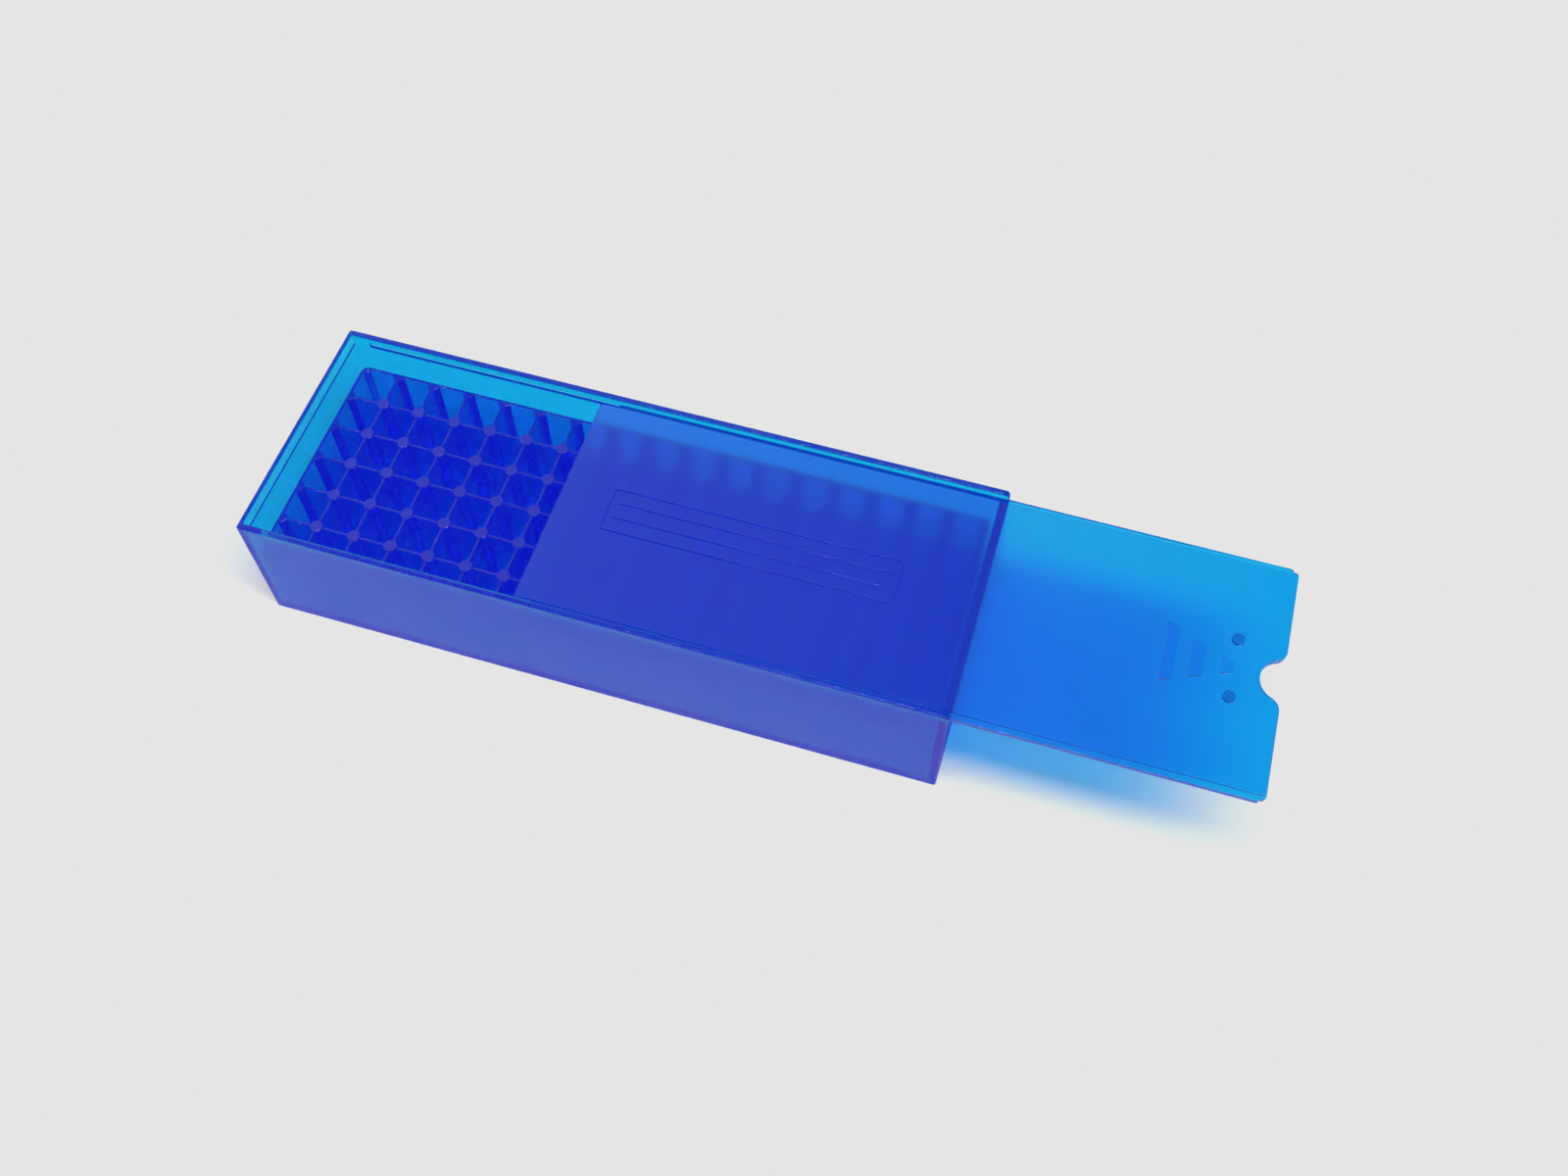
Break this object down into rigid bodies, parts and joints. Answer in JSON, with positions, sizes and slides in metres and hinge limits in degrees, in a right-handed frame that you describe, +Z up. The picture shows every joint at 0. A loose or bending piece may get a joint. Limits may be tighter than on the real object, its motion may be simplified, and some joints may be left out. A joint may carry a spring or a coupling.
{
  "type": "slide-lid storage box",
  "caption": "Long translucent blue plastic storage box with a square-celled insert and a flat lid that slides out over its low end wall.",
  "frame": {"origin": "centre of the box body's underside", "axes": "+X is the way the lid opens, along the box; +Z is up, out of the open top; +Y completes the right-handed frame"},
  "size_m": [0.2957, 0.0774, 0.0437],
  "materials": {
    "box_plastic": "translucent blue, glossy, moulded",
    "insert_plastic": "translucent deep blue, glossy, moulded",
    "lid_plastic": "translucent bright blue, glossy, moulded"
  },
  "bodies": {
    "root": {"box_body": "box_plastic", "insert_rim_near": "insert_plastic", "insert_rim_far": "insert_plastic", "insert_rim_closed_end": "insert_plastic", "insert_rim_low_end": "insert_plastic", "insert_rim_columns": "insert_plastic", "insert_columns_1": "insert_plastic", "insert_columns_2": "insert_plastic", "insert_columns_3": "insert_plastic", "insert_columns_4": "insert_plastic", "insert_columns_5": "insert_plastic", "insert_long_walls_1": "insert_plastic", "insert_long_walls_2": "insert_plastic", "insert_long_walls_3": "insert_plastic", "insert_long_walls_4": "insert_plastic", "insert_long_walls_5": "insert_plastic", "insert_cross_walls_1": "insert_plastic", "insert_cross_walls_2": "insert_plastic", "insert_cross_walls_3": "insert_plastic", "insert_cross_walls_4": "insert_plastic", "insert_cross_walls_5": "insert_plastic", "insert_cross_walls_6": "insert_plastic"},
    "lid": {"sliding_lid": "lid_plastic"}
  },
  "joints": [
    {"name": "lid_slide", "type": "slide", "parent": "root", "child": "lid", "axis": [1, 0, 0], "range_m": [-0.0824, 0.121]}
  ]
}
